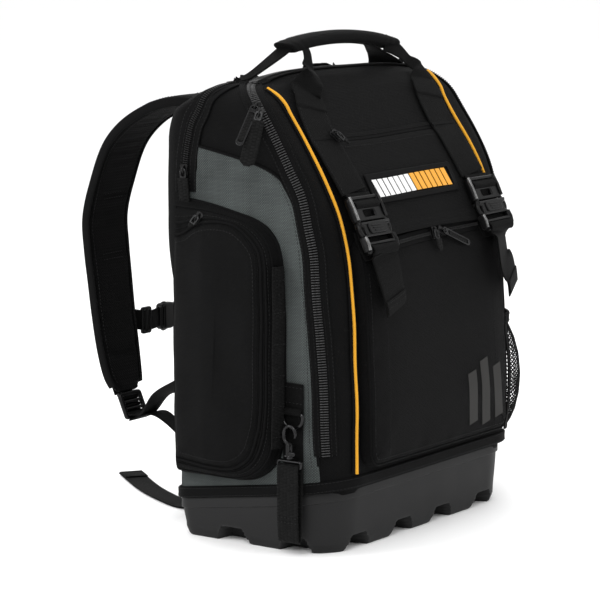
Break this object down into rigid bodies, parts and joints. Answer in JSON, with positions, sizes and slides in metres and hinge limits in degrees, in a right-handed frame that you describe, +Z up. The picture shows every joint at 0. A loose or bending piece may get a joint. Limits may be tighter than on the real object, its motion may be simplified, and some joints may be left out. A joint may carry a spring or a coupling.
{
  "type": "tool backpack",
  "caption": "Hard-based tool backpack with a leaning front, buckled webbing, zipped pockets, a net pocket, a carry handle and padded shoulder straps.",
  "frame": {"origin": "on the ground under the middle of the body, at the middle of the base's flat underside", "axes": "+Z up, -Y towards the front pocket, +Y towards the shoulder straps, +X to the right as seen from the front"},
  "size_m": [0.4159, 0.4683, 0.5256],
  "materials": {
    "rubber": "matt moulded rubber",
    "panel_cloth": "plain grey woven polyester",
    "cloth": "black ballistic weave",
    "webbing": "black woven webbing and tape",
    "nylon": "black moulded nylon",
    "steel": "dark plated metal",
    "cord": "amber woven piping",
    "plate": "moulded plate with slanted stripes",
    "net": "black knitted net"
  },
  "bodies": {
    "bag": {"base_tub": "rubber", "side_panel_left": "panel_cloth", "side_panel_right": "panel_cloth", "body_shell": "cloth", "front_flap": "cloth", "front_pocket": "cloth", "side_pocket": "cloth", "back_pad_left": "cloth", "back_pad_right": "cloth", "back_pad_lumbar": "cloth", "shoulder_pad_left": "cloth", "shoulder_pad_right": "cloth", "base_trim": "webbing", "front_pocket_zip": "webbing", "upper_zip": "webbing", "front_webbing_left": "webbing", "front_webbing_right": "webbing", "buckle_tab_left": "webbing", "buckle_tab_right": "webbing", "tail_left": "webbing", "tail_right": "webbing", "main_zip": "webbing", "back_zip": "webbing", "side_pocket_zip": "webbing", "daisy_webbing": "webbing", "mesh_pocket_hem_front": "webbing", "mesh_pocket_hem_side": "webbing", "handle_grip": "webbing", "handle_rear_left": "webbing", "handle_rear_right": "webbing", "handle_front_left": "webbing", "handle_front_right": "webbing", "anchor_webbing_left": "webbing", "anchor_webbing_right": "webbing", "sternum_webbing_left": "webbing", "sternum_webbing_right": "webbing", "strap_tail_left": "webbing", "strap_tail_right": "webbing", "ring_tab": "webbing", "key_loop": "webbing", "buckle_left_upper": "nylon", "buckle_left_lower": "nylon", "buckle_right_upper": "nylon", "buckle_right_lower": "nylon", "main_pull_rear": "nylon", "main_pull_front": "nylon", "back_pull": "nylon", "front_pull_inner": "nylon", "front_pull_outer": "nylon", "ladder_lock_left": "nylon", "ladder_lock_right": "nylon", "sternum_buckle": "nylon", "d_ring": "steel", "snap_hook": "steel", "piping_left": "cord", "piping_right": "cord", "patch": "plate", "mesh_pocket": "net"},
    "gate": {"snap_gate": "steel"}
  },
  "joints": [
    {"name": "snap_gate_hinge", "type": "hinge", "parent": "bag", "child": "gate", "pos_m": [-0.1958, -0.058, 0.1125], "axis": [1, 0, 0], "range_deg": [0, 20], "stiffness_Nm_per_rad": 0.02}
  ]
}
